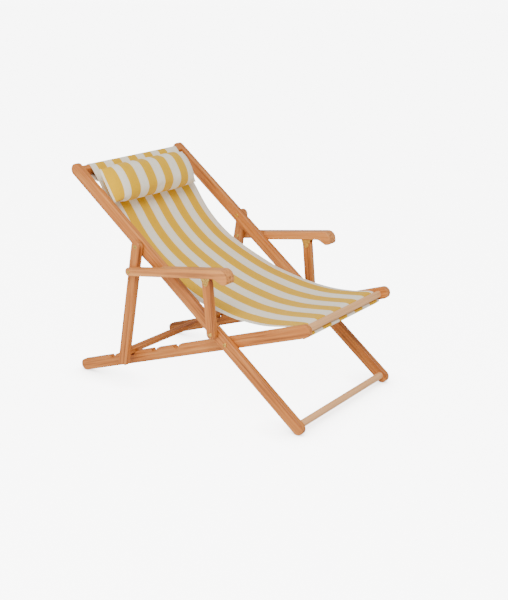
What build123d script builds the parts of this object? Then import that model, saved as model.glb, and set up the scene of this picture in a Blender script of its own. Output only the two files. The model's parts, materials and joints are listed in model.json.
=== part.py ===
from build123d import *
import os
from math import cos, radians, sin

os.makedirs("parts", exist_ok=True)

# Folding deck chair, in millimetres. +Z is up, the sitter faces -Y, and the chair is symmetric about X = 0.
# The side view is drawn in (y, z). The origin is on the ground, under the middle of the chair.

# back frame: two long rails from the head down to the front feet
back_outer = 290.0
back_thick = 22.0
back_wide = 44.5
back_angle = 38.31
back_length = 1198.0
foot_at = (-479.85, 22.0)

# seat frame: two rails from the rear ground ends up to the front bar, inside the back frame
seat_gap = 2.0
seat_thick = 22.0
seat_wide = 43.0
seat_angle = 18.65
seat_front_reach = 309.0
seat_rear_reach = 714.0
pivot_along = 367.0

# prop frame, outside the back rails
leg_gap = 3.0
leg_thick = 22.0
leg_wide = 39.0
leg_length = 453.0
leg_corner = 9.0
prop_along = 828.0
prop_angle = -79.51
bar_reach = 422.3
bar_deep = 24.0
bar_tall = 24.0

# the row of notches along the top of the seat rails, measured from the rear end of the rail
notch_places = [153.5, 258.0, 366.5, 473.0]
notch_radius = 10.5
notch_deep = 14.0
notch_ramp = 12.5

# armrests, the posts that carry them and the brass brackets between them
post_along = 422.0
post_wide = 35.0
post_thick = 20.0
post_top_at = (-132.85, 458.0)
arm_wide = 45.0
arm_thick = 30.0
arm_angle = 8.1
arm_pin_down = 88.0
arm_cheek = 20.0
arm_rebate = 130.0
arm_easing = 4.0
arm_rear = 16.0
arm_reach = 422.0
nose_drop = 34.5
bracket_half = 18.0
screw_places = [306.0, 328.0]
brass_thick = 2.0

# cross bars
head_bar_along = 1188.0
head_bar_deep = 24.0
head_bar_tall = 40.0
foot_dowel_radius = 12.5
front_bar_along = 292.0
front_bar_deep = 21.0
front_bar_tall = 24.0
front_bar_drop = 1.0
hem_dowel_radius = 5.0
hem_dowel_along = 286.0
hem_dowel_drop = 21.8
hem_dowel_half = 239.0
tenon_deep = 12.0

# brass bolts and rivets
bolt_radius = 4.0
rivet_radius = 3.0
running_fit = 0.05
head_radius = 7.5
head_high = 3.0
low_head_high = 1.3
flush_head_deep = 3.0
washer_radius = 11.0

# cloth
cloth_thick = 2.4
cloth_clear = 0.6
sling_half = 240.0
pillow_half = 227.0
pillow_shift = -38.0
pillow_tall = 148.0
pillow_deep = 90.0
pillow_slope = 59.5
pillow_at = (336.15, 718.9)


def step(angle, length):
    # a step of this length at this angle, in the side view
    return Vector(length * cos(radians(angle)), length * sin(radians(angle)))


foot = Vector(*foot_at)
back_dir = step(back_angle, 1)
back_up = step(back_angle + 90, 1)
head = foot + back_dir * back_length
pivot = foot + back_dir * pivot_along
prop_pin = foot + back_dir * prop_along
post_foot = foot + back_dir * post_along
seat_dir = step(180 - seat_angle, 1)
seat_up = step(90 - seat_angle, 1)
seat_rear = pivot - seat_dir * seat_rear_reach
seat_front = pivot + seat_dir * seat_front_reach
leg_dir = step(prop_angle, 1)
leg_end = prop_pin + leg_dir * leg_length
arm_pin = prop_pin + leg_dir * arm_pin_down
arm_dir = step(180 - arm_angle, 1)
arm_up = step(90 - arm_angle, 1)
post_pin = Vector(*post_top_at)
head_bar_mid = foot + back_dir * head_bar_along
front_bar_mid = pivot + seat_dir * front_bar_along - seat_up * front_bar_drop
hem_mid = pivot + seat_dir * hem_dowel_along - seat_up * hem_dowel_drop

back_inner = back_outer - back_thick
seat_outer = back_inner - seat_gap
seat_inner = seat_outer - seat_thick
leg_inner = back_outer + leg_gap
leg_outer = leg_inner + leg_thick
post_outer = leg_inner + post_thick
ear_inner = leg_inner - brass_thick
arm_outer = ear_inner + arm_wide
cheek_inner = arm_outer - arm_cheek
hole_radius = bolt_radius + running_fit
rivet_hole = rivet_radius + running_fit


def side_plane(x, at=None, direction=None):
    # the side view's plane at this x, with its own x axis along a direction of the side view
    origin = (x, at.X, at.Y) if at else (x, 0, 0)
    ahead = (0, direction.X, direction.Y) if direction else (0, 1, 0)
    return Plane(origin=origin, x_dir=ahead, z_dir=(1, 0, 0))


def mirrored(shape, side):
    # the +X piece as it is, or its mirror image for the other side
    return shape if side > 0 else mirror(shape, about=Plane.YZ)


def disc(near, far, at, radius, mode=Mode.ADD):
    # a round bar along X between two x values
    with BuildSketch(side_plane(near)) as outline:
        with Locations((at.X, at.Y)):
            Circle(radius)
    extrude(outline.sketch, amount=far - near, mode=mode)


def bore(near, far, at, radius):
    # a round hole along X between two x values
    disc(near, far, at, radius, Mode.SUBTRACT)


def cone(outer, inner, at, radius, small, mode=Mode.ADD):
    # a countersunk head along X, wide at the outer face
    with BuildSketch(side_plane(outer)) as wide_end:
        with Locations((at.X, at.Y)):
            Circle(radius)
    with BuildSketch(side_plane(inner)) as small_end:
        with Locations((at.X, at.Y)):
            Circle(small)
    loft([wide_end.sketch.face(), small_end.sketch.face()], mode=mode)


def clear_floor():
    # cuts off what reaches below the floor, which leaves the small flat a rail stands on
    with BuildSketch(Plane.XY) as floor:
        Rectangle(1000, 3000)
    extrude(floor.sketch, amount=-100, mode=Mode.SUBTRACT)


def round_batten(near, far, start, end, wide, easing):
    # a batten with full round ends between two points of the side view, its long edges eased
    with BuildSketch(side_plane(near, start, (end - start).normalized())) as outline:
        with Locations(((end - start).length / 2, 0)):
            SlotCenterToCenter((end - start).length, wide)
    extrude(outline.sketch, amount=far - near)
    flats = faces().filter_by(Axis.X)
    chamfer(flats.edges(), easing)


def square_mortise(face, depth, at, direction, deep, tall):
    # a rounded rectangular mortise that takes a cross bar's tenon
    with BuildSketch(side_plane(face, at, direction)) as outline:
        RectangleRounded(deep, tall, 3)
    extrude(outline.sketch, amount=depth, mode=Mode.SUBTRACT)


def build_back_rail():
    with BuildPart() as rail:
        round_batten(back_inner, back_outer, foot, head, back_wide, 2.5)
        clear_floor()
        for at in (pivot, prop_pin, post_foot):
            bore(back_inner, back_outer, at, hole_radius)
        dowel_mid = foot + Vector(4, 5)
        bore(back_inner, back_inner + tenon_deep, dowel_mid, foot_dowel_radius - 3)
        square_mortise(
            back_inner, tenon_deep, head_bar_mid, back_dir, head_bar_deep - 10, head_bar_tall - 14
        )
    return rail.part


def notch_cutter(place):
    # the outline of one notch: straight rear wall, round bottom, ramp that opens towards the front
    top = seat_wide / 2
    mid = top - notch_deep + notch_radius
    with BuildSketch(side_plane(seat_inner - 1, seat_rear + seat_dir * place, seat_dir * -1)) as outline:
        with Locations((0, mid)):
            Circle(notch_radius)
        with BuildLine():
            Polyline(
                (notch_radius, mid),
                (notch_radius + 1, top + 8),
                (-notch_radius - notch_ramp, top + 8),
                (5 - notch_radius - notch_ramp, top),
                (-notch_radius * 0.7, mid - notch_radius * 0.71),
                (0, mid - notch_radius * 0.5),
                (notch_radius, mid),
            )
        make_face()
    extrude(outline.sketch, amount=seat_thick + 2, mode=Mode.SUBTRACT)


def build_seat_rail():
    with BuildPart() as rail:
        round_batten(seat_inner, seat_outer, seat_rear, seat_front, seat_wide, 2.5)
        clear_floor()
        bore(seat_inner, seat_outer, pivot, hole_radius)
        for place in notch_places:
            notch_cutter(place)
        square_mortise(
            seat_inner, tenon_deep, front_bar_mid, seat_dir, front_bar_deep - 7, front_bar_tall - 8
        )
    return rail.part


def build_prop_leg():
    with BuildPart() as leg:
        with BuildSketch(side_plane(leg_inner, prop_pin, leg_dir)):
            Circle(leg_wide / 2)
            with Locations((leg_length / 2 - 5, 0)):
                RectangleRounded(leg_length - 10, leg_wide, leg_corner)
            with Locations((leg_length / 4, 0)):
                Rectangle(leg_length / 2, leg_wide)
            with Locations((leg_length - 20, 0)):
                RectangleRounded(40, leg_wide, leg_corner)
        extrude(amount=leg_thick)
        chamfer(faces().filter_by(Axis.X).edges(), 2.5)
        bore(leg_inner, leg_outer, prop_pin, hole_radius)
        cone(leg_outer, leg_outer - flush_head_deep, prop_pin, head_radius + 0.1, hole_radius, Mode.SUBTRACT)
        bore(leg_inner, leg_outer, arm_pin, rivet_hole)
        square_mortise(
            leg_inner,
            tenon_deep,
            prop_pin + leg_dir * (bar_reach - bar_tall / 2),
            leg_dir,
            bar_tall - 8,
            bar_deep - 8,
        )
    return leg.part


def build_post():
    with BuildPart() as post:
        round_batten(leg_inner, post_outer, post_foot, post_pin, post_wide, 2)
        bore(leg_inner, post_outer, post_foot, hole_radius)
        bore(leg_inner, post_outer, post_pin, rivet_hole)
    return post.part


def arm_point(ahead, up):
    # a point of the side view measured from the rear arm pin along the arm and square to it
    return arm_pin + arm_dir * ahead + arm_up * up


def build_arm():
    half = arm_thick / 2
    with BuildPart() as arm:
        with BuildSketch(side_plane(ear_inner, arm_pin, arm_dir * -1)):
            with BuildLine():
                Polyline(
                    (arm_rear, -half),
                    (arm_rear, half),
                    (-arm_reach, half),
                    (-arm_reach, -nose_drop),
                    (24 - arm_reach, -nose_drop),
                    (52 - arm_reach, -half),
                    (arm_rear, -half),
                )
            make_face()
            for corner, radius in (
                ((arm_rear, -half), half - 0.5),
                ((arm_rear, half), half - 0.5),
                ((-arm_reach, half), 27),
                ((-arm_reach, -nose_drop), 13),
                ((24 - arm_reach, -nose_drop), 9),
                ((52 - arm_reach, -half), 26),
            ):
                fillet(vertices().sort_by_distance(corner)[0], radius)
        extrude(amount=arm_wide)
        fillet(faces().filter_by(Axis.X).edges(), arm_easing)
        with BuildSketch(side_plane(ear_inner - 1, arm_pin, arm_dir)):
            with Locations((arm_rebate / 2 - 50, 0)):
                Rectangle(arm_rebate + 100, 120)
        extrude(amount=cheek_inner - ear_inner + 1, mode=Mode.SUBTRACT)
        bore(cheek_inner, arm_outer, arm_pin, rivet_hole)
        for place in screw_places:
            base = arm_point(place, -half)
            with BuildSketch(Plane((ear_inner + 12, base.X, base.Y), (1, 0, 0), (0, arm_up.X, arm_up.Y))):
                Circle(1.5)
            extrude(amount=14, mode=Mode.SUBTRACT)
    return arm.part


def build_bracket():
    low = arm_thick / 2
    ahead = (post_pin - arm_pin).dot(arm_dir)
    drop = -(post_pin - arm_pin).dot(arm_up)
    with BuildPart() as bracket:
        with BuildSketch(side_plane(ear_inner, arm_pin, arm_dir * -1)):
            with BuildLine():
                Polyline(
                    (bracket_half - ahead, -low),
                    (-bracket_half - ahead, -low),
                    (1 - bracket_half - ahead, -low - 8),
                    (-9 - ahead, -drop - 2),
                    (9 - ahead, -drop - 2),
                    (bracket_half - 1 - ahead, -low - 8),
                    (bracket_half - ahead, -low),
                )
            make_face()
            with Locations((-ahead, -drop)):
                Circle(9.5)
        extrude(amount=post_thick + 2 * brass_thick)
        with BuildSketch(side_plane(leg_inner, arm_pin, arm_dir * -1)):
            with Locations((-ahead, -low - brass_thick - 50)):
                Rectangle(100, 100)
        extrude(amount=post_thick, mode=Mode.SUBTRACT)
        bore(ear_inner, post_outer + brass_thick, post_pin, rivet_hole)
        for place in screw_places:
            base = arm_point(place, -low - brass_thick)
            plate = Plane((ear_inner + 12, base.X, base.Y), (1, 0, 0), (0, arm_up.X, arm_up.Y))
            with BuildSketch(plate):
                Circle(3.6)
            with BuildSketch(plate.offset(brass_thick)):
                Circle(1.6)
            loft(mode=Mode.SUBTRACT)
    return bracket.part


def build_screws():
    low = arm_thick / 2
    with BuildPart() as screws:
        for place in screw_places:
            base = arm_point(place, -low - brass_thick)
            plate = Plane((ear_inner + 12, base.X, base.Y), (1, 0, 0), (0, arm_up.X, arm_up.Y))
            with BuildSketch(plate):
                Circle(3.5)
            with BuildSketch(plate.offset(brass_thick)):
                Circle(1.5)
            loft()
            with BuildSketch(plate.offset(brass_thick)):
                Circle(1.5)
            extrude(amount=13)
    return screws.part


def build_main_bolt():
    # domed head on the outside, plain shank, cap nut inside the seat rail
    with BuildPart() as bolt:
        disc(seat_inner - 3, back_outer, pivot, bolt_radius)
        disc(back_outer, back_outer + head_high, pivot, head_radius)
        outer = faces().sort_by(Axis.X)[-1]
        fillet(outer.edges(), 2)
    return bolt.part


def build_main_nut():
    with BuildPart() as nut:
        with BuildSketch(side_plane(seat_inner - 5)):
            with Locations((pivot.X, pivot.Y)):
                Circle(7)
        extrude(amount=5)
        fillet(faces().sort_by(Axis.X)[0].edges(), 2)
        bore(seat_inner - 3, seat_inner, pivot, bolt_radius)
    return nut.part


def build_washer(near, far, at, hole):
    with BuildPart() as washer:
        disc(near, far, at, washer_radius)
        bore(near, far, at, hole)
    return washer.part


def build_prop_bolt():
    # countersunk head flush in the leg, low domed rivet head inside the back rail
    with BuildPart() as bolt:
        disc(back_inner, leg_outer - flush_head_deep, prop_pin, bolt_radius)
        cone(leg_outer, leg_outer - flush_head_deep, prop_pin, head_radius, bolt_radius)
        disc(back_inner - low_head_high, back_inner, prop_pin, head_radius)
        fillet(faces().sort_by(Axis.X)[0].edges(), 0.9)
    return bolt.part


def build_post_bolt():
    with BuildPart() as bolt:
        disc(back_inner, post_outer, post_foot, bolt_radius)
        disc(post_outer, post_outer + head_high, post_foot, head_radius)
        fillet(faces().sort_by(Axis.X)[-1].edges(), 2)
        disc(back_inner - low_head_high, back_inner, post_foot, head_radius - 1)
        fillet(faces().sort_by(Axis.X)[0].edges(), 0.9)
    return bolt.part


def build_bracket_rivet():
    near = ear_inner
    far = post_outer + brass_thick
    with BuildPart() as rivet:
        disc(near, far, post_pin, rivet_radius)
        disc(far, far + 1.5, post_pin, 5.5)
        fillet(faces().sort_by(Axis.X)[-1].edges(), 1)
        disc(near - 0.5, near, post_pin, 5.5)
    return rivet.part


def build_arm_rivet():
    with BuildPart() as rivet:
        disc(cheek_inner, arm_outer, arm_pin, rivet_radius)
        disc(arm_outer, arm_outer + 1.8, arm_pin, 6)
        fillet(faces().sort_by(Axis.X)[-1].edges(), 1.2)
    return rivet.part


def build_leg_stud():
    with BuildPart() as stud:
        disc(leg_inner, leg_outer, arm_pin, rivet_radius)
        disc(leg_inner - 1.5, leg_inner, arm_pin, 6)
        fillet(faces().sort_by(Axis.X)[0].edges(), 1)
    return stud.part


def save(name, pieces):
    # one file per piece, or per group of identical pieces
    whole = pieces[0] if len(pieces) == 1 else Compound(children=pieces)
    whole.label = name
    export_step(whole, "parts/" + name + ".step")


def save_pair(name, shape):
    save(name, [mirrored(shape, 1), mirrored(shape, -1)])


for name, shape in (
    ("back_rail", build_back_rail()),
    ("seat_rail", build_seat_rail()),
    ("prop_leg", build_prop_leg()),
    ("arm_post", build_post()),
    ("armrest", build_arm()),
    ("arm_bracket", build_bracket()),
    ("bracket_screws", build_screws()),
    ("bracket_pin", build_bracket_rivet()),
    ("arm_pin", build_arm_rivet()),
):
    save(name + "_left", [mirrored(shape, 1)])
    save(name + "_right", [mirrored(shape, -1)])

save_pair("main_bolts", build_main_bolt())
save_pair("main_nuts", build_main_nut())
save_pair("main_washers", build_washer(seat_outer, back_inner, pivot, hole_radius))
save_pair("prop_bolts", build_prop_bolt())
save_pair("prop_washers", build_washer(back_outer, leg_inner, prop_pin, hole_radius))
save_pair("post_bolts", build_post_bolt())
save_pair("post_washers", build_washer(back_outer, leg_inner, post_foot, hole_radius))
save_pair("leg_pins", build_leg_stud())

with BuildPart() as head_bar:
    with BuildSketch(side_plane(-back_inner, head_bar_mid, back_dir)):
        RectangleRounded(head_bar_deep, head_bar_tall, 9)
    extrude(amount=2 * back_inner)
    with BuildSketch(side_plane(-back_inner - tenon_deep + 0.2, head_bar_mid, back_dir)):
        RectangleRounded(head_bar_deep - 10.1, head_bar_tall - 14.1, 3)
    extrude(amount=2 * (back_inner + tenon_deep - 0.2))
save("head_bar", [head_bar.part])

with BuildPart() as foot_dowel:
    dowel_mid = foot + Vector(4, 5)
    disc(-back_inner, back_inner, dowel_mid, foot_dowel_radius)
    disc(0.2 - back_inner - tenon_deep, back_inner + tenon_deep - 0.2, dowel_mid, foot_dowel_radius - 3.05)
save("foot_dowel", [foot_dowel.part])

with BuildPart() as front_bar:
    with BuildSketch(side_plane(-seat_inner, front_bar_mid, seat_dir)):
        RectangleRounded(front_bar_deep, front_bar_tall, 8)
    extrude(amount=2 * seat_inner)
    with BuildSketch(side_plane(-seat_inner - tenon_deep + 0.2, front_bar_mid, seat_dir)):
        RectangleRounded(front_bar_deep - 7.1, front_bar_tall - 8.1, 3)
    extrude(amount=2 * (seat_inner + tenon_deep - 0.2))
save("front_bar", [front_bar.part])

with BuildPart() as hem_dowel:
    disc(-hem_dowel_half, hem_dowel_half, hem_mid, hem_dowel_radius)
save("hem_dowel", [hem_dowel.part])

with BuildPart() as prop_bar:
    bar_mid = prop_pin + leg_dir * (bar_reach - bar_tall / 2)
    with BuildSketch(side_plane(-leg_inner, bar_mid, leg_dir)):
        with Locations((-bar_tall / 4, 0)):
            RectangleRounded(bar_tall / 2, bar_deep, 3)
        Rectangle(4, bar_deep)
        Circle(bar_deep / 2)
    extrude(amount=2 * leg_inner)
    with BuildSketch(side_plane(-leg_inner - tenon_deep + 0.2, bar_mid, leg_dir)):
        RectangleRounded(bar_tall - 8.1, bar_deep - 8.1, 3)
    extrude(amount=2 * (leg_inner + tenon_deep - 0.2))
save("prop_bar", [prop_bar.part])


def seat_point(ahead, up):
    # a point of the side view measured from the main pivot along the seat rail and square to it
    return pivot + seat_dir * ahead + seat_up * up


def back_point(ahead, up):
    # a point of the side view measured from the foot along the back rail and square to it
    return foot + back_dir * ahead + back_up * up


def cloth_strip(points):
    # a strip of cloth thickness drawn along a smooth line of the side view
    spots = [Vector(*point) for point in points]
    left = []
    right = []
    for here, spot in enumerate(spots):
        before = spots[max(here - 1, 0)]
        after = spots[min(here + 1, len(spots) - 1)]
        run = (after - before).normalized()
        left.append(spot + Vector(-run.Y, run.X) * (cloth_thick / 2))
        right.append(spot - Vector(-run.Y, run.X) * (cloth_thick / 2))
    with BuildLine() as outline:
        Spline(left)
        Spline(right)
        Line(left[0], right[0])
        Line(left[-1], right[-1])
    make_face(outline.edges())


# the hanging line of the sling from the head bar down, across the seat and up to the front bar
sag_points = [
    (868.0, 708.0),
    (829.0, 645.0),
    (790.0, 585.0),
    (757.0, 547.5),
    (718.0, 512.0),
    (680.0, 480.5),
    (590.0, 430.0),
    (519.0, 398.5),
    (450.0, 374.0),
    (380.0, 355.5),
    (300.0, 340.5),
    (240.0, 334.8),
    (175.0, 334.4),
    (120.0, 338.9),
]
sag_shift = foot_at[0]
sling_line = [back_point(1185, head_bar_tall / 2 + cloth_clear + cloth_thick / 2)]
sling_line += [Vector(y + sag_shift, z) for y, z in sag_points]
cloth_down = hem_dowel_along - hem_dowel_radius - cloth_clear - cloth_thick / 2
sling_line += [
    seat_point(cloth_down - 32, 18.4),
    seat_point(cloth_down - 17, 15),
    seat_point(cloth_down - 8.5, 12),
    seat_point(cloth_down - 3, 7.5),
    seat_point(cloth_down - 0.3, 1.5),
    seat_point(cloth_down, -4),
    seat_point(cloth_down, -12),
    seat_point(cloth_down, -hem_dowel_drop),
]

with BuildPart() as sling:
    with BuildSketch(side_plane(-sling_half)):
        cloth_strip(sling_line)
    extrude(amount=2 * sling_half)
    wrap = cloth_clear + cloth_thick
    with BuildSketch(side_plane(-sling_half, head_bar_mid, back_dir)):
        RectangleRounded(head_bar_deep + 2 * wrap, head_bar_tall + 2 * wrap, 9 + wrap)
    extrude(amount=2 * sling_half)
    with BuildSketch(side_plane(-sling_half, hem_mid, seat_dir)):
        Circle(hem_dowel_radius + wrap)
    extrude(amount=2 * sling_half)
    with BuildSketch(side_plane(-sling_half, head_bar_mid, back_dir)):
        RectangleRounded(head_bar_deep + 2 * cloth_clear, head_bar_tall + 2 * cloth_clear, 9 + cloth_clear)
    extrude(amount=2 * sling_half, mode=Mode.SUBTRACT)
    with BuildSketch(side_plane(-sling_half, hem_mid, seat_dir)):
        Circle(hem_dowel_radius + cloth_clear)
    extrude(amount=2 * sling_half, mode=Mode.SUBTRACT)
save("sling", [sling.part])

# the head pillow lies on the sling just below the head bar
pillow_mid = Vector(*pillow_at)
pillow_dir = step(pillow_slope, 1)
with BuildPart() as pillow:
    with BuildSketch(side_plane(pillow_shift - pillow_half, pillow_mid, pillow_dir)):
        Ellipse(pillow_tall / 2, pillow_deep / 2)
    extrude(amount=2 * pillow_half)
    fillet(faces().filter_by(Axis.X).edges(), 12)
save("pillow", [pillow.part])
print("parts written")
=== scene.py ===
import json
import math

import bpy
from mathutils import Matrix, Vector, noise


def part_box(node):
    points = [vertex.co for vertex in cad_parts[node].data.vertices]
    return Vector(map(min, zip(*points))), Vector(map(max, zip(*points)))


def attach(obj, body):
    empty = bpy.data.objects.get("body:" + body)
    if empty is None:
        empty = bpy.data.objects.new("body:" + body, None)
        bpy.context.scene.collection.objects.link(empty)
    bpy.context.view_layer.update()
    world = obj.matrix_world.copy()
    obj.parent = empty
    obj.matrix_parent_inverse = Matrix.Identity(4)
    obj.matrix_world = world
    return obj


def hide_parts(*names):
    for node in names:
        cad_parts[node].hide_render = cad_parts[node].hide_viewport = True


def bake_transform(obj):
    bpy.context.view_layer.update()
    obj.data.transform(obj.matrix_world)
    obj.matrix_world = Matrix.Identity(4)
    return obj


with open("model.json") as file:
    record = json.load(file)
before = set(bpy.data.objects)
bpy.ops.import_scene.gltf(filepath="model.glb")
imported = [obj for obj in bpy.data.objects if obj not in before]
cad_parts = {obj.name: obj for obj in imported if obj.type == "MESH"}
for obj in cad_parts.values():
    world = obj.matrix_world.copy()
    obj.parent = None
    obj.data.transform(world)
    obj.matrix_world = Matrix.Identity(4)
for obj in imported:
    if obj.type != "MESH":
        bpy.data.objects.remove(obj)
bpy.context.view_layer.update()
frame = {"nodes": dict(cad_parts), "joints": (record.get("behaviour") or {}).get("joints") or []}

# the chair's own landmarks, taken from the frame's joints and parts
joints = {j["name"]: j for j in frame["joints"]}
mainPivot = Vector(joints["seat_fold"]["pos_m"])
propPivot = Vector(joints["prop_swing"]["pos_m"])
backDir = Vector((0, propPivot.y - mainPivot.y, propPivot.z - mainPivot.z)).normalized()
backUp = Vector((0, -backDir.z, backDir.y))
seatAngle = math.radians(18.65)  # how far the seat rails rise towards the front
seatDir = Vector((0, -math.cos(seatAngle), math.sin(seatAngle)))
seatUp = Vector((0, math.sin(seatAngle), math.cos(seatAngle)))


def middleOf(node):
    low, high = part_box(node)
    return (low + high) / 2


headBarMid = middleOf("head_bar")
hemMid = middleOf("hem_dowel")

# ---------- camera, floor and light
viewSet = {"azimuth": -54.40, "elevation": 17.70, "distance": 3.734, "lens": 62.82,
           "target": (0.0076, -0.0978, 0.3123)}


def placeCamera():
    camera = bpy.data.objects.new("camera", bpy.data.cameras.new("camera"))
    bpy.context.scene.collection.objects.link(camera)
    a, e = math.radians(viewSet["azimuth"]), math.radians(viewSet["elevation"])
    back = Vector((math.sin(a) * math.cos(e), -math.cos(a) * math.cos(e), math.sin(e)))
    camera.location = Vector(viewSet["target"]) + back * viewSet["distance"]
    camera.rotation_mode = "QUATERNION"
    camera.rotation_quaternion = (-back).to_track_quat("-Z", "Y")
    camera.data.lens = viewSet["lens"]
    camera.data.clip_end = 60
    bpy.context.scene.camera = camera


placeCamera()
print("camera placed")

lightSet = {
    "skyStrength": 0.72, "skySeen": 8.0,
    "keyPlace": (-2.2, -1.6, 3.3), "keyPower": 112.0, "keySize": 2.2, "keyTint": (1.0, 0.965, 0.92),
    "fillPlace": (-3.2, 0.2, 1.3), "fillPower": 34.0, "fillSize": 2.0, "fillTint": (1.0, 0.985, 0.97),
    "floorColour": (0.90, 0.90, 0.90), "floorGlow": 7.2, "floorRadius": 30.0, "footShadow": 0.10,
}


def colour(r, g, b):
    # a colour picked as 0 to 255 on screen, as the linear one a shader takes
    def one(v):
        v = v / 255
        return v / 12.92 if v <= 0.04045 else ((v + 0.055) / 1.055) ** 2.4
    return (one(r), one(g), one(b), 1.0)


def addNode(tree, kind, **sockets):
    node = tree.nodes.new(kind)
    for name, value in sockets.items():
        node.inputs[name].default_value = value
    return node


def newMaterial(name):
    material = bpy.data.materials.new(name)
    material.use_nodes = True
    return material, material.node_tree, material.node_tree.nodes["Principled BSDF"]


def mapRange(tree, low, high, lowTo, highTo):
    node = tree.nodes.new("ShaderNodeMapRange")
    for socket, value in (("From Min", low), ("From Max", high), ("To Min", lowTo), ("To Max", highTo)):
        node.inputs[socket].default_value = value
    return node


def softLight(kind, aimHeight):
    name = kind + "Light"
    place = lightSet[kind + "Place"]
    light = bpy.data.lights.new(name, "AREA")
    light.shape = "DISK"
    light.size = lightSet[kind + "Size"]
    light.energy = lightSet[kind + "Power"]
    light.color = lightSet[kind + "Tint"]
    lamp = bpy.data.objects.new(name, light)
    lamp.location = place
    lamp.rotation_mode = "QUATERNION"
    lamp.rotation_quaternion = (Vector((0, 0, aimHeight)) - Vector(place)).to_track_quat("-Z", "Y")
    bpy.context.scene.collection.objects.link(lamp)


def setStudio():
    world = bpy.data.worlds.new("studio")
    world.use_nodes = True
    sky = world.node_tree
    sky.nodes["Background"].inputs["Color"].default_value = (1.0, 1.0, 1.0, 1.0)
    # the backdrop looks brighter than it lights
    seen = sky.nodes.new("ShaderNodeLightPath")
    strength = mapRange(sky, 0.0, 1.0, lightSet["skyStrength"], lightSet["skySeen"])
    sky.links.new(seen.outputs["Is Camera Ray"], strength.inputs["Value"])
    sky.links.new(strength.outputs["Result"], sky.nodes["Background"].inputs["Strength"])
    bpy.context.scene.world = world
    softLight("key", aimHeight=0.3)
    softLight("fill", aimHeight=0.4)

    r = lightSet["floorRadius"]
    floorMesh = bpy.data.meshes.new("floor")
    floorMesh.from_pydata([(-r, -r, 0), (r, -r, 0), (r, r, 0), (-r, r, 0)], [], [(0, 1, 2, 3)])
    floor = bpy.data.objects.new("floor", floorMesh)
    floor.location.z = -0.0005
    bpy.context.scene.collection.objects.link(floor)
    paper, tree, surface = newMaterial("studioPaper")
    surface.inputs["Roughness"].default_value = 0.9
    grainSpot = addNode(tree, "ShaderNodeTexNoise", Scale=14.0, Detail=4.0)
    place = tree.nodes.new("ShaderNodeTexCoord")
    tone = tree.nodes.new("ShaderNodeValToRGB")
    tone.color_ramp.elements[0].color = (*[c * 0.99 for c in lightSet["floorColour"]], 1)
    tone.color_ramp.elements[1].color = (*lightSet["floorColour"], 1)
    tree.links.new(place.outputs["Object"], grainSpot.inputs["Vector"])
    tree.links.new(grainSpot.outputs["Fac"], tone.inputs["Fac"])
    tree.links.new(tone.outputs["Color"], surface.inputs["Base Color"])
    # the camera sees the paper glow a little, so that it stays near white
    surface.inputs["Emission Color"].default_value = (1.0, 1.0, 1.0, 1.0)
    seenFloor = tree.nodes.new("ShaderNodeLightPath")
    # and its glow is dimmed by ambient occlusion near each foot: a painted shadow where a foot stands
    paintedFootShadow = tree.nodes.new("ShaderNodeAmbientOcclusion")
    paintedFootShadow.inputs["Distance"].default_value = lightSet["footShadow"]
    paintedFootShadow.samples = 8
    glow = mapRange(tree, 0.35, 1.0, lightSet["floorGlow"] * 0.3, lightSet["floorGlow"])
    tree.links.new(paintedFootShadow.outputs["AO"], glow.inputs["Value"])
    shown = tree.nodes.new("ShaderNodeMath")
    shown.operation = "MULTIPLY"
    tree.links.new(seenFloor.outputs["Is Camera Ray"], shown.inputs[0])
    tree.links.new(glow.outputs["Result"], shown.inputs[1])
    tree.links.new(shown.outputs["Value"], surface.inputs["Emission Strength"])
    floorMesh.materials.append(paper)


setStudio()
print("studio lit")

# ---------- wood, brass and canvas
woodSet = {"pale": (228, 152, 78), "middle": (202, 120, 50), "dark": (126, 64, 22),
           "bleached": (255, 214, 166), "grainPitch": 0.0085, "fibrePitch": 0.0015,
           "roughness": 0.48, "bump": 0.0003}


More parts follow.
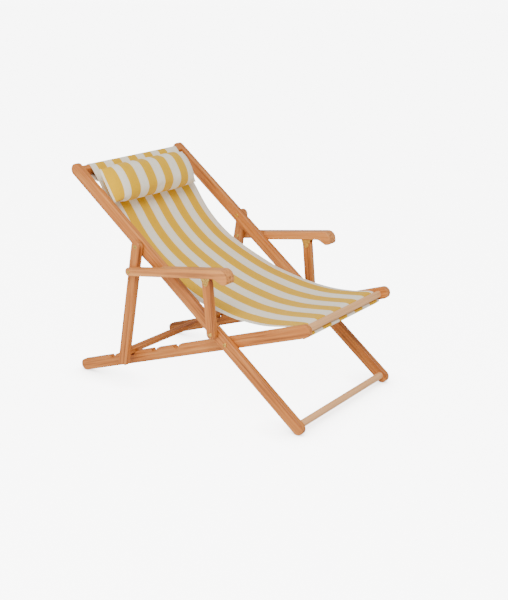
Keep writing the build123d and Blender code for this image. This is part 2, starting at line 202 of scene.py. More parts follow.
def makeWood(name, angle, acrossBar=False, shade=1.0, bleach=0.0):
    # oiled hardwood with its grain along the piece: angle is the piece's slope in the side view
    def tint(tone):
        mixed = [c + (pale - c) * bleach for c, pale in zip(woodSet[tone], woodSet["bleached"])]
        return [c * shade for c in colour(*mixed)[:3]] + [1]

    wood, tree, surface = newMaterial(name)
    link = tree.links.new
    surface.inputs["Specular IOR Level"].default_value = 0.35
    surface.inputs["Coat Weight"].default_value = 0.08
    surface.inputs["Coat Roughness"].default_value = 0.35
    place = tree.nodes.new("ShaderNodeTexCoord")
    turn = tree.nodes.new("ShaderNodeMapping")
    turn.vector_type = "POINT"
    if acrossBar:
        turn.inputs["Rotation"].default_value = (0, 0, math.radians(90))
    else:
        turn.inputs["Rotation"].default_value = (-math.radians(angle), 0, 0)
    link(place.outputs["Object"], turn.inputs["Vector"])

    warp = addNode(tree, "ShaderNodeTexNoise", Scale=3.2, Detail=2.0, Roughness=0.5)
    stretchWarp = addNode(tree, "ShaderNodeMapping", Scale=(1.0, 0.35, 1.0))
    link(turn.outputs["Vector"], stretchWarp.inputs["Vector"])
    link(stretchWarp.outputs["Vector"], warp.inputs["Vector"])
    push = tree.nodes.new("ShaderNodeVectorMath")
    push.operation = "MULTIPLY_ADD"
    push.inputs[1].default_value = (0.02, 0.02, 0.02)
    link(warp.outputs["Color"], push.inputs[0])
    link(turn.outputs["Vector"], push.inputs[2])

    ringSize = 1 / woodSet["grainPitch"]
    rings = addNode(tree, "ShaderNodeTexNoise", Scale=1.0, Detail=3.0, Roughness=0.55, Distortion=0.3)
    stretchRings = addNode(tree, "ShaderNodeMapping", Scale=(ringSize, ringSize * 0.03, ringSize))
    link(push.outputs["Vector"], stretchRings.inputs["Vector"])
    link(stretchRings.outputs["Vector"], rings.inputs["Vector"])

    fibreSize = 1 / woodSet["fibrePitch"]
    fibre = addNode(tree, "ShaderNodeTexNoise", Scale=1.0, Detail=2.0, Roughness=0.6)
    stretchFibre = addNode(tree, "ShaderNodeMapping", Scale=(fibreSize, fibreSize * 0.02, fibreSize))
    link(turn.outputs["Vector"], stretchFibre.inputs["Vector"])
    link(stretchFibre.outputs["Vector"], fibre.inputs["Vector"])

    patches = addNode(tree, "ShaderNodeTexNoise", Scale=4.5, Detail=2.0)
    link(stretchWarp.outputs["Vector"], patches.inputs["Vector"])

    ringTone = tree.nodes.new("ShaderNodeValToRGB")
    ramp = ringTone.color_ramp
    ramp.elements[0].position = 0.26
    ramp.elements[0].color = tint("dark")
    ramp.elements[1].position = 0.74
    ramp.elements[1].color = tint("pale")
    middle = ramp.elements.new(0.47)
    middle.color = tint("middle")
    link(rings.outputs["Fac"], ringTone.inputs["Fac"])

    fibreTone = mapRange(tree, 0.35, 0.65, 0.90, 1.05)
    link(fibre.outputs["Fac"], fibreTone.inputs["Value"])
    patchTone = mapRange(tree, 0.3, 0.7, 0.90, 1.08)
    link(patches.outputs["Fac"], patchTone.inputs["Value"])
    both = tree.nodes.new("ShaderNodeMath")
    both.operation = "MULTIPLY"
    link(fibreTone.outputs["Result"], both.inputs[0])
    link(patchTone.outputs["Result"], both.inputs[1])
    tinted = tree.nodes.new("ShaderNodeVectorMath")
    tinted.operation = "SCALE"
    link(ringTone.outputs["Color"], tinted.inputs[0])
    link(both.outputs["Value"], tinted.inputs["Scale"])
    link(tinted.outputs["Vector"], surface.inputs["Base Color"])

    dull = mapRange(tree, 0.0, 1.0, woodSet["roughness"] - 0.06, woodSet["roughness"] + 0.14)
    link(rings.outputs["Fac"], dull.inputs["Value"])
    link(dull.outputs["Result"], surface.inputs["Roughness"])
    bump = addNode(tree, "ShaderNodeBump", Strength=0.6, Distance=woodSet["bump"])
    link(fibre.outputs["Fac"], bump.inputs["Height"])
    link(bump.outputs["Normal"], surface.inputs["Normal"])
    return wood


brassSet = {"bright": (238, 196, 104), "tarnished": (170, 122, 52), "roughness": 0.27}


def makeBrass():
    brass, tree, surface = newMaterial("satinBrass")
    link = tree.links.new
    surface.inputs["Metallic"].default_value = 1.0
    place = tree.nodes.new("ShaderNodeTexCoord")
    cloud = addNode(tree, "ShaderNodeTexNoise", Scale=160.0, Detail=4.0, Roughness=0.6)
    link(place.outputs["Object"], cloud.inputs["Vector"])
    tone = tree.nodes.new("ShaderNodeValToRGB")
    tone.color_ramp.elements[0].position = 0.32
    tone.color_ramp.elements[0].color = colour(*brassSet["tarnished"])
    tone.color_ramp.elements[1].position = 0.55
    tone.color_ramp.elements[1].color = colour(*brassSet["bright"])
    link(cloud.outputs["Fac"], tone.inputs["Fac"])
    link(tone.outputs["Color"], surface.inputs["Base Color"])
    scratch = addNode(tree, "ShaderNodeTexNoise", Scale=900.0, Detail=2.0)
    link(place.outputs["Object"], scratch.inputs["Vector"])
    dull = mapRange(tree, 0.0, 1.0, brassSet["roughness"] - 0.07, brassSet["roughness"] + 0.15)
    link(scratch.outputs["Fac"], dull.inputs["Value"])
    link(dull.outputs["Result"], surface.inputs["Roughness"])
    bump = addNode(tree, "ShaderNodeBump", Strength=0.25, Distance=0.0001)
    link(scratch.outputs["Fac"], bump.inputs["Height"])
    link(bump.outputs["Normal"], surface.inputs["Normal"])
    return brass


canvasSet = {"yellow": (232, 180, 0), "cream": (250, 243, 224), "creamEdge": (244, 216, 140),
             "edgeShare": 0.35, "fray": 0.0012, "threadPitch": 0.0011, "weaveDepth": 0.00022,
             "roughness": 0.88, "sheen": 0.18}


def makeCanvas(name, stripePeriod, yellowReach):
    # striped canvas: yellow where the stripe wave is high, cream elsewhere and beyond yellowReach
    canvas, tree, surface = newMaterial(name)
    link = tree.links.new
    surface.inputs["Sheen Weight"].default_value = canvasSet["sheen"]
    surface.inputs["Sheen Roughness"].default_value = 0.5
    surface.inputs["Specular IOR Level"].default_value = 0.2
    place = tree.nodes.new("ShaderNodeTexCoord")
    source = place.outputs["UV"]
    split = tree.nodes.new("ShaderNodeSeparateXYZ")
    link(source, split.inputs["Vector"])

    def maths(operation, first, second=None, clamp=False):
        step = tree.nodes.new("ShaderNodeMath")
        step.operation = operation
        step.use_clamp = clamp
        for socket, value in zip(step.inputs, (first, second)):
            if value is None:
                continue
            if isinstance(value, (int, float)):
                socket.default_value = value
            else:
                link(value, socket)
        return step.outputs["Value"]

    across = split.outputs["X"]
    fuzz = addNode(tree, "ShaderNodeTexNoise", Scale=700.0, Detail=1.0)
    link(source, fuzz.inputs["Vector"])
    fray = maths("MULTIPLY", maths("SUBTRACT", fuzz.outputs["Fac"], 0.5), canvasSet["fray"])
    wave = maths("COSINE", maths("MULTIPLY", maths("ADD", across, fray), 2 * math.pi / stripePeriod))
    inside = maths("LESS_THAN", maths("ABSOLUTE", across), yellowReach)
    isYellow = maths("MULTIPLY", maths("MULTIPLY", maths("ADD", wave, 0.03), 22.0, clamp=True), inside)
    nearYellow = maths("MULTIPLY", maths("ADD", wave, 0.34), 5.0, clamp=True)
    nearYellow = maths("MULTIPLY", maths("MULTIPLY", nearYellow, inside), canvasSet["edgeShare"])

    cream = tree.nodes.new("ShaderNodeMix")
    cream.data_type = "RGBA"
    cream.inputs["A"].default_value = colour(*canvasSet["cream"])
    cream.inputs["B"].default_value = colour(*canvasSet["creamEdge"])
    link(nearYellow, cream.inputs["Factor"])
    stripes = tree.nodes.new("ShaderNodeMix")
    stripes.data_type = "RGBA"
    stripes.inputs["B"].default_value = colour(*canvasSet["yellow"])
    link(isYellow, stripes.inputs["Factor"])
    link(cream.outputs["Result"], stripes.inputs["A"])

    # slubs: thicker threads that run both ways and catch a little more or less light
    slubs = []
    for stretch in ((40.0, 900.0, 40.0), (900.0, 30.0, 900.0)):
        run = addNode(tree, "ShaderNodeMapping", Scale=stretch)
        link(source, run.inputs["Vector"])
        thread = addNode(tree, "ShaderNodeTexNoise", Scale=1.0, Detail=2.0)
        link(run.outputs["Vector"], thread.inputs["Vector"])
        slubs.append(thread.outputs["Fac"])
    slub = maths("MULTIPLY", maths("SUBTRACT", maths("ADD", slubs[0], slubs[1]), 1.0), 0.22)
    washed = addNode(tree, "ShaderNodeTexNoise", Scale=5.0, Detail=3.0)
    link(source, washed.inputs["Vector"])
    tone = maths("ADD", maths("ADD", slub, maths("MULTIPLY", washed.outputs["Fac"], 0.10)), 0.95)
    shaded = tree.nodes.new("ShaderNodeVectorMath")
    shaded.operation = "SCALE"
    link(stripes.outputs["Result"], shaded.inputs[0])
    link(tone, shaded.inputs["Scale"])
    link(shaded.outputs["Vector"], surface.inputs["Base Color"])

    # plain weave: two crossing sets of threads
    weaveTurn = 2 * math.pi / canvasSet["threadPitch"]
    warpThreads = maths("SINE", maths("MULTIPLY", across, weaveTurn))
    weftThreads = maths("SINE", maths("MULTIPLY", split.outputs["Y"], weaveTurn))
    weave = maths("ADD", maths("MULTIPLY", warpThreads, weftThreads), slub)
    bump = addNode(tree, "ShaderNodeBump", Strength=0.5, Distance=canvasSet["weaveDepth"])
    link(weave, bump.inputs["Height"])
    link(bump.outputs["Normal"], surface.inputs["Normal"])
    dull = maths("ADD", maths("MULTIPLY", slubs[0], 0.1), canvasSet["roughness"] - 0.05)
    link(dull, surface.inputs["Roughness"])
    return canvas


threadSet = {"shade": (205, 196, 170), "light": (240, 234, 214)}


def makeThread():
    thread, tree, surface = newMaterial("creamThread")
    surface.inputs["Roughness"].default_value = 0.7
    surface.inputs["Sheen Weight"].default_value = 0.2
    place = tree.nodes.new("ShaderNodeTexCoord")
    ply = addNode(tree, "ShaderNodeTexNoise", Scale=1400.0, Detail=2.0)
    tone = tree.nodes.new("ShaderNodeValToRGB")
    tone.color_ramp.elements[0].color = colour(*threadSet["shade"])
    tone.color_ramp.elements[1].color = colour(*threadSet["light"])
    tree.links.new(place.outputs["Object"], ply.inputs["Vector"])
    tree.links.new(ply.outputs["Fac"], tone.inputs["Fac"])
    tree.links.new(tone.outputs["Color"], surface.inputs["Base Color"])
    return thread


def dress():
    # every wooden node gets the grain that runs along it, every metal node the brass
    woods = {
        "back_rail": makeWood("woodBackRail", 38.31),
        "seat_rail": makeWood("woodSeatRail", -18.65),
        "prop_leg": makeWood("woodPropLeg", -79.5),
        "arm_post": makeWood("woodArmPost", 85.8),
        "armrest": makeWood("woodArmrest", -8.1, shade=1.08, bleach=0.14),
        "bar": makeWood("woodCrossBar", 0, acrossBar=True),
        "paleBar": makeWood("woodPaleBar", 0, acrossBar=True, shade=1.1, bleach=0.6),
    }
    brass = makeBrass()
    for name, node in frame["nodes"].items():
        if name in ("sling", "pillow"):
            continue
        kind = next((k for k in woods if name.startswith(k)), None)
        if name in ("head_bar", "hem_dowel", "prop_bar"):
            kind = "bar"
        if name in ("foot_dowel", "front_bar"):
            kind = "paleBar"
        node.data.materials.clear()
        node.data.materials.append(woods[kind] if kind else brass)


dress()
print("wood and brass dressed")

# ---------- the sling
slingSet = {
    "clothThick": 0.0013, "rowStep": 0.006, "columns": 72,
    "halfWidthHead": 0.238, "halfWidthSeat": 0.249, "halfWidthFront": 0.241,
    "hemDrop": 0.0218, "hemWide": 0.013, "hemProud": 0.0006,
    "wrinkle": 0.0011, "edgeWave": 0.0022, "curl": 0.0035, "pucker": 0.0004,
    "stripePeriod": 0.096, "yellowReach": 0.218,
    # the stripes open out by stretchGain from the head to the seat, and their middle drifts by driftGain
    "stretchHead": 0.885, "stretchGain": 0.175, "driftHead": 0.010, "driftGain": -0.014, "headSkew": -0.028,
    # from where to where each change runs, measured from the chair's middle towards the seat front
    "widenOver": (-0.30, 0.02), "narrowOver": (0.30, 0.405),
    "stretchOver": (-0.42, 0.24), "driftOver": (-0.40, 0.20), "skewOver": (-0.445, -0.315),
    # the hanging line in the side view, from under the head bar down to the seat front
    "hang": ((0.388, 0.708), (0.349, 0.645), (0.277, 0.5475), (0.200, 0.4805),
             (0.110, 0.430), (-0.030, 0.374), (-0.180, 0.3405), (-0.240, 0.3348), (-0.305, 0.3344),
             (-0.360, 0.3389)),
    # from there over the front bar, each point ahead of and above the line down to the hem
    "lip": ((-0.032, 0.0184), (-0.017, 0.0150), (-0.0085, 0.0120), (-0.003, 0.0075),
            (-0.0003, 0.0015), (0, -0.004), (0, -0.012), (0, -0.018)),
    # the head bar's half section and corner, and the hem dowel, that the cloth goes round
    "barAhead": 0.012, "barUp": 0.020, "barCorner": 0.009, "dowelRadius": 0.005, "barGap": 0.0006,
}


def arcPoints(centre, ahead, up, radius, start, stop, count):
    # points on an arc in the side view, angles in degrees from the ahead direction towards up
    found = []
    for i in range(count + 1):
        a = math.radians(start + (stop - start) * i / count)
        found.append(centre + ahead * (radius * math.cos(a)) + up * (radius * math.sin(a)))
    return found


def smoothLine(points, step):
    # a centripetal curve through the points, resampled at an even step
    dense = []
    for i in range(len(points) - 1):
        p1, p2 = points[i], points[i + 1]
        p0 = points[i - 1] if i > 0 else p1 * 2 - p2
        p3 = points[i + 2] if i + 2 < len(points) else p2 * 2 - p1
        t1 = max((p1 - p0).length, 1e-6) ** 0.5
        t2 = t1 + max((p2 - p1).length, 1e-6) ** 0.5
        t3 = t2 + max((p3 - p2).length, 1e-6) ** 0.5
        count = max(2, int((p2 - p1).length / step * 4))
        for k in range(count):
            t = t1 + (t2 - t1) * k / count
            a1 = p0 * ((t1 - t) / t1) + p1 * (t / t1)
            a2 = p1 * ((t2 - t) / (t2 - t1)) + p2 * ((t - t1) / (t2 - t1))
            a3 = p2 * ((t3 - t) / (t3 - t2)) + p3 * ((t - t2) / (t3 - t2))
            b1 = a1 * ((t2 - t) / t2) + a2 * (t / t2)
            b2 = a2 * ((t3 - t) / (t3 - t1)) + a3 * ((t - t1) / (t3 - t1))
            dense.append(b1 * ((t2 - t) / (t2 - t1)) + b2 * ((t - t1) / (t2 - t1)))
    dense.append(points[-1])
    lengths = [0.0]
    for a, b in zip(dense, dense[1:]):
        lengths.append(lengths[-1] + (b - a).length)
    total = lengths[-1]
    rows = max(2, round(total / step))
    line, k = [], 0
    for i in range(rows + 1):
        want = total * i / rows
        while k < len(lengths) - 2 and lengths[k + 1] < want:
            k += 1
        share = (want - lengths[k]) / max(lengths[k + 1] - lengths[k], 1e-9)
        line.append(dense[k].lerp(dense[k + 1], min(max(share, 0), 1)))
    return line, total


def headPoint(ahead, up):
    return headBarMid + backDir * ahead + backUp * up


def frontPoint(ahead, up):
    # from above the hem dowel, along the seat rail and square to it
    return hemMid + seatDir * ahead + seatUp * (up + slingSet["hemDrop"])


def slingPath():
    gap = slingSet["barGap"] + slingSet["clothThick"] / 2
    corner = slingSet["barCorner"]
    ahead, up = slingSet["barAhead"] - corner, slingSet["barUp"] - corner
    sleeve = [headPoint(-0.060, 0.0015), headPoint(-0.036, -0.0075)]
    # round the head bar's four soft corners
    for x, z, start, stop, count in ((-ahead, -up, 225, 270, 5), (ahead, -up, 270, 360, 5),
                                     (ahead, up, 0, 90, 5), (-ahead, up, 90, 112, 2)):
        sleeve += arcPoints(headPoint(x, z), backDir, backUp, corner + gap, start, stop, count)
    hang = [Vector((0, y, z)) for y, z in slingSet["hang"]]
    # over the front bar, down behind it and round the hem dowel
    behind = -slingSet["dowelRadius"] - gap
    lip = [frontPoint(behind + along, above) for along, above in slingSet["lip"]]
    hem = arcPoints(hemMid, seatDir, seatUp, slingSet["dowelRadius"] + gap, 180, 470, 14)
    return smoothLine(sleeve + hang + lip + hem, slingSet["rowStep"])


slingLine, slingLength = slingPath()
lastRow = len(slingLine) - 1


def blendOf(value, start, stop):
    t = min(max((value - start) / (stop - start), 0.0), 1.0)
    return t * t * (3 - 2 * t)


def slingHalfWidth(point):
    toSeat = blendOf(-point.y, *slingSet["widenOver"])
    toFront = blendOf(-point.y, *slingSet["narrowOver"])
    half = slingSet["halfWidthHead"] + (slingSet["halfWidthSeat"] - slingSet["halfWidthHead"]) * toSeat
    return half + (slingSet["halfWidthFront"] - half) * toFront


def stripeStretch(point):
    # the stripes open out a little from the head to the seat
    return slingSet["stretchHead"] + slingSet["stretchGain"] * blendOf(-point.y, *slingSet["stretchOver"])


def stripeDrift(point):
    # and wander sideways: the cloth sits askew on the head bar
    askew = slingSet["headSkew"] * (1 - blendOf(-point.y, *slingSet["skewOver"]))
    drift = slingSet["driftHead"] + slingSet["driftGain"] * blendOf(-point.y, *slingSet["driftOver"])
    return drift + askew


def meshFrom(name, points, faces, uvs=None):
    mesh = bpy.data.meshes.new(name)
    mesh.from_pydata([tuple(p) for p in points], [], faces)
    if uvs:
        layer = mesh.uv_layers.new(name="cloth")
        for loop in mesh.loops:
            layer.data[loop.index].uv = uvs[loop.vertex_index]
    mesh.polygons.foreach_set("use_smooth", [True] * len(mesh.polygons))
    made = bpy.data.objects.new(name, mesh)
    bpy.context.scene.collection.objects.link(made)
    return made


def bakeModifiers(obj):
    # turns what the modifiers show into the object's own plain mesh
    depsgraph = bpy.context.evaluated_depsgraph_get()
    baked = bpy.data.meshes.new_from_object(obj.evaluated_get(depsgraph))
    obj.modifiers.clear()
    obj.data = baked


def surfaceNormals(line):
    found = []
    for i in range(len(line)):
        run = (line[min(i + 1, len(line) - 1)] - line[max(i - 1, 0)]).normalized()
        found.append(Vector((0, run.z, -run.y)))
    return found


slingNormals = surfaceNormals(slingLine)


def ripple(across, along, acrossRate, alongRate, seed):
    return noise.noise(Vector((across * acrossRate, along * alongRate, seed)))


def slingOffset(across, half, along):
    # small wrinkles: drawn out from both bars, with the hems standing a little proud
    left = slingLength - along
    nearBars = math.exp(-((along - 0.16) / 0.10) ** 2) + math.exp(-((left - 0.10) / 0.09) ** 2)
    pull = ripple(across, along, 34, 3.2, 1.7) * slingSet["wrinkle"] * (0.35 + nearBars)
    edge = abs(across) / half
    edgeWave = ripple(across, along, 3, 9, 5.1) * slingSet["edgeWave"] * edge ** 6
    curl = slingSet["curl"] * edge ** 10
    inside = half - abs(across)
    hem = slingSet["hemProud"] if inside < slingSet["hemWide"] else 0.0
    pucker = 0.0
    if inside < slingSet["hemWide"] * 1.7:
        pucker = slingSet["pucker"] * noise.noise(Vector((along * 120, across * 20, 3.3)))
    # the cloth lies still where it goes round the bars
    free = min(blendOf(along, 0.14, 0.26), blendOf(left, 0.07, 0.16))
    return (pull + edgeWave - curl) * free + hem + pucker * free


def slingSpot(row, across):
    # a point of the cloth: row along the line, across as a share from -1 to 1
    point = slingLine[row]
    half = slingHalfWidth(point)
    x = across * half
    offset = slingOffset(x, half, slingLength * row / lastRow)
    return Vector((x, point.y, point.z)) + slingNormals[row] * offset


def columnShares():
    # closer together at the hems
    half = slingSet["columns"] // 2
    side = [math.sin(math.pi / 2 * i / half) ** 0.85 for i in range(half + 1)]
    return [-v for v in reversed(side[1:])] + side


def makeSling():
    shares = columnShares()
    points, uvs, faces = [], [], []
    for row, point in enumerate(slingLine):
        half = slingHalfWidth(point)
        for share in shares:
            points.append(slingSpot(row, share))
            across = (share * half - stripeDrift(point)) / stripeStretch(point)
            uvs.append((across, slingLength * row / lastRow))
    wide = len(shares)
    for row in range(lastRow):
        for column in range(wide - 1):
            a = row * wide + column
            faces.append((a, a + wide, a + wide + 1, a + 1))
    cloth = meshFrom("slingCanvas", points, faces, uvs)
    thicken = cloth.modifiers.new("clothThickness", "SOLIDIFY")
    thicken.thickness = slingSet["clothThick"]
    thicken.offset = 0.0
    bakeModifiers(cloth)
    stripes = makeCanvas("slingStripes", slingSet["stripePeriod"], slingSet["yellowReach"])
    cloth.data.materials.append(stripes)
    return cloth


sling = makeSling()
print("sling made, length", round(slingLength, 4))

# ---------- stitches, laid along a guide line with geometry nodes
stitchSet = {"pitch": 0.0046, "length": 0.0033, "thickness": 0.00042, "wander": 0.00025, "seed": 7}
creamThread = makeThread()


def stitchTree():
    tree = bpy.data.node_groups.new("stitchRow", "GeometryNodeTree")
    face = tree.interface
    face.new_socket("Geometry", in_out="INPUT", socket_type="NodeSocketGeometry")
    for name in ("Pitch", "Length", "Thickness", "Wander"):
        face.new_socket(name, in_out="INPUT", socket_type="NodeSocketFloat")
    face.new_socket("Seed", in_out="INPUT", socket_type="NodeSocketInt")
    face.new_socket("Thread", in_out="INPUT", socket_type="NodeSocketMaterial")
    face.new_socket("Geometry", in_out="OUTPUT", socket_type="NodeSocketGeometry")
    link = tree.links.new
    start = tree.nodes.new("NodeGroupInput")
    end = tree.nodes.new("NodeGroupOutput")
    toCurve = tree.nodes.new("GeometryNodeMeshToCurve")
    link(start.outputs["Geometry"], toCurve.inputs["Mesh"])
    spaced = tree.nodes.new("GeometryNodeCurveToPoints")
    spaced.mode = "LENGTH"
    link(toCurve.outputs["Curve"], spaced.inputs["Curve"])
    link(start.outputs["Pitch"], spaced.inputs["Length"])

    jitter = tree.nodes.new("FunctionNodeRandomValue")
    jitter.data_type = "FLOAT_VECTOR"
    jitter.inputs["Min"].default_value = (-1, -1, -1)
    link(start.outputs["Seed"], jitter.inputs["Seed"])
    scaled = tree.nodes.new("ShaderNodeVectorMath")
    scaled.operation = "SCALE"
    link(jitter.outputs["Value"], scaled.inputs[0])
    link(start.outputs["Wander"], scaled.inputs["Scale"])
    shifted = tree.nodes.new("GeometryNodeSetPosition")
    link(spaced.outputs["Points"], shifted.inputs["Geometry"])
    link(scaled.outputs["Vector"], shifted.inputs["Offset"])

    stitch = tree.nodes.new("GeometryNodeMeshUVSphere")
    stitch.inputs["Segments"].default_value = 6
    stitch.inputs["Rings"].default_value = 5
    stitch.inputs["Radius"].default_value = 0.5
    placed = tree.nodes.new("GeometryNodeInstanceOnPoints")
    link(shifted.outputs["Geometry"], placed.inputs["Points"])
    link(stitch.outputs["Mesh"], placed.inputs["Instance"])
    link(spaced.outputs["Rotation"], placed.inputs["Rotation"])
    size = tree.nodes.new("ShaderNodeCombineXYZ")
    double = tree.nodes.new("ShaderNodeMath")
    double.operation = "MULTIPLY"
    double.inputs[1].default_value = 2.0
    link(start.outputs["Thickness"], double.inputs[0])
    link(double.outputs["Value"], size.inputs["X"])
    link(double.outputs["Value"], size.inputs["Y"])
    link(start.outputs["Length"], size.inputs["Z"])
    link(size.outputs["Vector"], placed.inputs["Scale"])
    solid = tree.nodes.new("GeometryNodeRealizeInstances")
    link(placed.outputs["Instances"], solid.inputs["Geometry"])
    painted = tree.nodes.new("GeometryNodeSetMaterial")
    link(solid.outputs["Geometry"], painted.inputs["Geometry"])
    link(start.outputs["Thread"], painted.inputs["Material"])
    link(painted.outputs["Geometry"], end.inputs["Geometry"])
    return tree


stitchRow = stitchTree()


def stitchAlong(name, lines):
    # one piece with the stitches of several guide lines
    points, edges = [], []
    for line in lines:
        first = len(points)
        points += [tuple(p) for p in line]
        edges += [(first + i, first + i + 1) for i in range(len(line) - 1)]
    mesh = bpy.data.meshes.new(name)
    mesh.from_pydata(points, edges, [])
    row = bpy.data.objects.new(name, mesh)
    bpy.context.scene.collection.objects.link(row)
    nodes = row.modifiers.new("stitchRow", "NODES")
    nodes.node_group = stitchRow
    values = {**stitchSet, "thread": creamThread}
    for item in stitchRow.interface.items_tree:
        if item.in_out == "INPUT" and item.name.lower() in values:
            nodes[item.identifier] = values[item.name.lower()]
    row.update_tag()
    bakeModifiers(row)
    row.data.polygons.foreach_set("use_smooth", [True] * len(row.data.polygons))
    if not row.data.materials:
        row.data.materials.append(creamThread)
    return row


seamSet = {
    "lift": 0.0001, "fromHem": 0.003, "hemStart": 0.155, "hemStop": 0.075,
    # where the sleeve round the head bar is sewn shut, along the cloth, and how near to its edges
    "sleeveRows": (0.176, 0.182), "sleeveReach": 0.985, "sleeveSteps": 80,
}


def slingStitchLines():
    lines = []
    lift = slingSet["clothThick"] / 2 + seamSet["lift"]
    inset = slingSet["hemWide"] - seamSet["fromHem"]
    first = int(seamSet["hemStart"] / slingLength * lastRow) + 1
    last = lastRow - int(seamSet["hemStop"] / slingSet["rowStep"])
    for side in (-1, 1):
        for face in (-1, 1):
            line = []
            for row in range(first, last):
                half = slingHalfWidth(slingLine[row])
                share = side * (half - inset) / half
                line.append(slingSpot(row, share) + slingNormals[row] * (lift * face))
            lines.append(line)
    steps, reach = seamSet["sleeveSteps"], seamSet["sleeveReach"]
    for distance in seamSet["sleeveRows"]:
        row = round(distance / slingLength * lastRow)
        for face in (-1, 1):
            out = slingNormals[row] * (lift * face)
            lines.append([slingSpot(row, reach * (2 * k / steps - 1)) + out for k in range(steps + 1)])
    return lines


slingStitches = stitchAlong("slingStitches", slingStitchLines())
print("sling stitched")

# ---------- the head pillow
pillowSet = {
    "middle": (0.3362, 0.7189), "slope": 59.5, "shift": -0.038, "halfLength": 0.2275,
    "tall": 0.146, "deep": 0.088, "endTall": 0.130, "flange": 0.045, "flat": 0.0026,
    "plump": 0.86, "around": 84, "along": 100, "pressure": 4.0, "mostMove": 0.005, "frames": 20,
    "stripePeriod": 0.0903, "yellowReach": 0.2145, "stripeShift": -0.0865,
    "turnFrom": -0.200, "turnStretch": 1.53, "girth": 0.38,
    # the stretch of sling that it lies on, and what it keeps clear of the sling and of the rail
    "liesOver": (0.24, 0.46), "belowHeadBar": 0.012, "slingGap": 0.0028, "railGap": 0.0006,
    "seamIn": 0.004, "seamShare": 0.96, "seamSteps": 40,
}
pillowMid = Vector((pillowSet["shift"], *pillowSet["middle"]))
pillowSlope = math.radians(pillowSet["slope"])
pillowAxis = Vector((0, math.cos(pillowSlope), math.sin(pillowSlope)))
pillowOut = Vector((0, -pillowAxis.z, pillowAxis.y))


def pillowRing(share):
    # height and depth of the pillow at a share of its half length: it closes to a flat sewn edge
    filled = min(abs(share) / (1 - pillowSet["flange"]), 1.0)
    closing = (1 - filled ** 6) ** 0.5
    deep = pillowSet["flat"] + (pillowSet["deep"] - pillowSet["flat"]) * closing
    tall = pillowSet["tall"] + (pillowSet["endTall"] - pillowSet["tall"]) * blendOf(abs(share), 0.55, 1.0)
    return tall, deep


def bulge(wave):
    return math.copysign(abs(wave) ** pillowSet["plump"], wave)


def makePillow():
    around, along = pillowSet["around"], pillowSet["along"]
    points, faces, uvs = [], [], []
    for i in range(along + 1):
        share = math.sin(math.pi * (i / along - 0.5)) * 0.35 + (2 * i / along - 1) * 0.65
        tall, deep = pillowRing(share)
        for k in range(around):
            a = 2 * math.pi * k / around
            up, out = bulge(math.cos(a)) * tall / 2, bulge(math.sin(a)) * deep / 2
            spot = pillowMid + Vector((share * pillowSet["halfLength"], 0, 0))
            spot += pillowAxis * up + pillowOut * out
            points.append(spot)
            # the stripes bunch up where the cover turns over the right end
            turned = min(spot.x - pillowSet["turnFrom"], 0.0)
            across = spot.x + turned * (pillowSet["turnStretch"] - 1) - pillowSet["stripeShift"]
            uvs.append((across, min(k, around - k) / around * pillowSet["girth"]))
    for i in range(along):
        for k in range(around):
            a, b = i * around + k, i * around + (k + 1) % around
            faces.append((a, b, b + around, a + around))
    # the two flat ends are sewn shut across their short depth
    for end, base in ((0, 0), (1, along * around)):
        for k in range(around // 2 - 1):
            a, b = k, k + 1
            c, d = around - 1 - k, around - k
            quad = (base + a, base + d % around, base + c, base + b)
            if k == 0:
                quad = (base, base + around - 1, base + 1)
            if end:
                quad = tuple(reversed(quad))
            faces.append(quad)
        last = (base + around // 2 - 1, base + around // 2 + 1, base + around // 2)
        faces.append(tuple(reversed(last)) if end else last)
    pillow = meshFrom("headPillow", points, faces, uvs)
    puffPillow(pillow)
    smooth = pillow.modifiers.new("smoothCloth", "SUBSURF")
    smooth.levels = smooth.render_levels = 1
    bakeModifiers(pillow)
    clearOfSling(pillow)
    pillow.data.polygons.foreach_set("use_smooth", [True] * len(pillow.data.polygons))
    stripes = makeCanvas("pillowStripes", pillowSet["stripePeriod"], pillowSet["yellowReach"])
    pillow.data.materials.append(stripes)
    return pillow


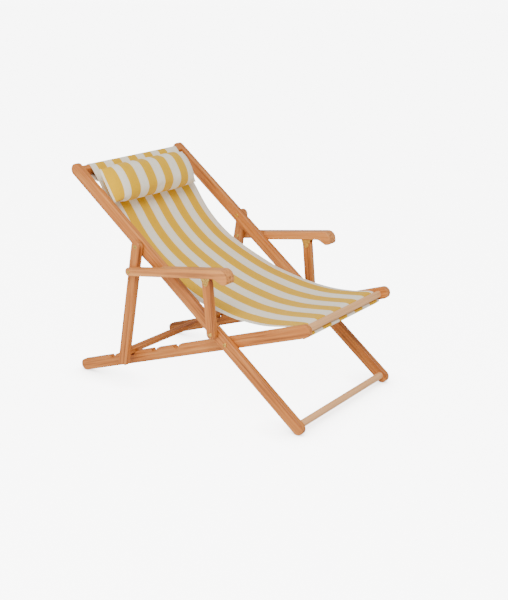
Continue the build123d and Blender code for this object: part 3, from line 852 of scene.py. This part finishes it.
def puffPillow(pillow):
    # fills the sewn cover with air pressure, then holds every point near its place
    before = [v.co.copy() for v in pillow.data.vertices]
    cloth = pillow.modifiers.new("stuffing", "CLOTH")
    cloth.settings.quality = 6
    cloth.settings.mass = 0.25
    cloth.settings.tension_stiffness = 14
    cloth.settings.compression_stiffness = 14
    cloth.settings.shear_stiffness = 6
    cloth.settings.bending_stiffness = 0.35
    cloth.settings.use_pressure = True
    cloth.settings.uniform_pressure_force = pillowSet["pressure"]
    cloth.settings.effector_weights.gravity = 0.0
    cloth.point_cache.frame_start = 1
    cloth.point_cache.frame_end = pillowSet["frames"]
    scene = bpy.context.scene
    for f in range(1, pillowSet["frames"] + 1):
        scene.frame_set(f)
    bakeModifiers(pillow)
    scene.frame_set(1)
    for v, old in zip(pillow.data.vertices, before):
        move = v.co - old
        if move.length > pillowSet["mostMove"]:
            v.co = old + move.normalized() * pillowSet["mostMove"]


def clearOfSling(pillow):
    # the side that lies on the sling takes its shape
    lowest, highest = pillowSet["liesOver"]
    near = [(p, n) for p, n in zip(slingLine, slingNormals)
            if lowest < p.y < highest and (p - headBarMid).dot(backDir) < -pillowSet["belowHeadBar"]]
    # the right end stops at the rail beside it
    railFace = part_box("back_rail_right")[1].x + pillowSet["railGap"]
    for v in pillow.data.vertices:
        v.co.x = max(v.co.x, railFace)
        flat = Vector((0, v.co.y, v.co.z))
        spot, normal = min(near, key=lambda pn: (pn[0] - flat).length_squared)
        if normal.dot(pillowOut) < 0:
            normal = -normal
        gap = (flat - spot).dot(normal) - pillowSet["slingGap"]
        if gap < 0:
            v.co -= normal * gap


pillow = makePillow()
print("pillow stuffed")


def pillowSeamLines():
    # a row near each end, found on both faces by looking at the pillow from outside
    lines = []
    steps = pillowSet["seamSteps"]
    reach = pillowSet["endTall"] * pillowSet["seamShare"]
    for side in (-1, 1):
        x = side * (pillowSet["halfLength"] - pillowSet["seamIn"])
        for face in (-1, 1):
            line = []
            for k in range(steps + 1):
                up = (k / steps - 0.5) * reach
                guess = pillowMid + Vector((x, 0, 0)) + pillowAxis * up + pillowOut * (face * 0.05)
                found, spot, normal, _ = pillow.ray_cast(guess, -pillowOut * face, distance=0.1)
                if found:
                    line.append(spot + normal * 0.0002)
            if len(line) > 3:
                lines.append(line)
    return lines


pillowStitches = stitchAlong("pillowStitches", pillowSeamLines())
print("pillow seams sewn")

# ---------- what moves with what
for piece in (sling, slingStitches):
    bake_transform(piece)
for piece in (pillow, pillowStitches):
    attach(piece, "back_frame")
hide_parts("sling")
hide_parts("pillow")
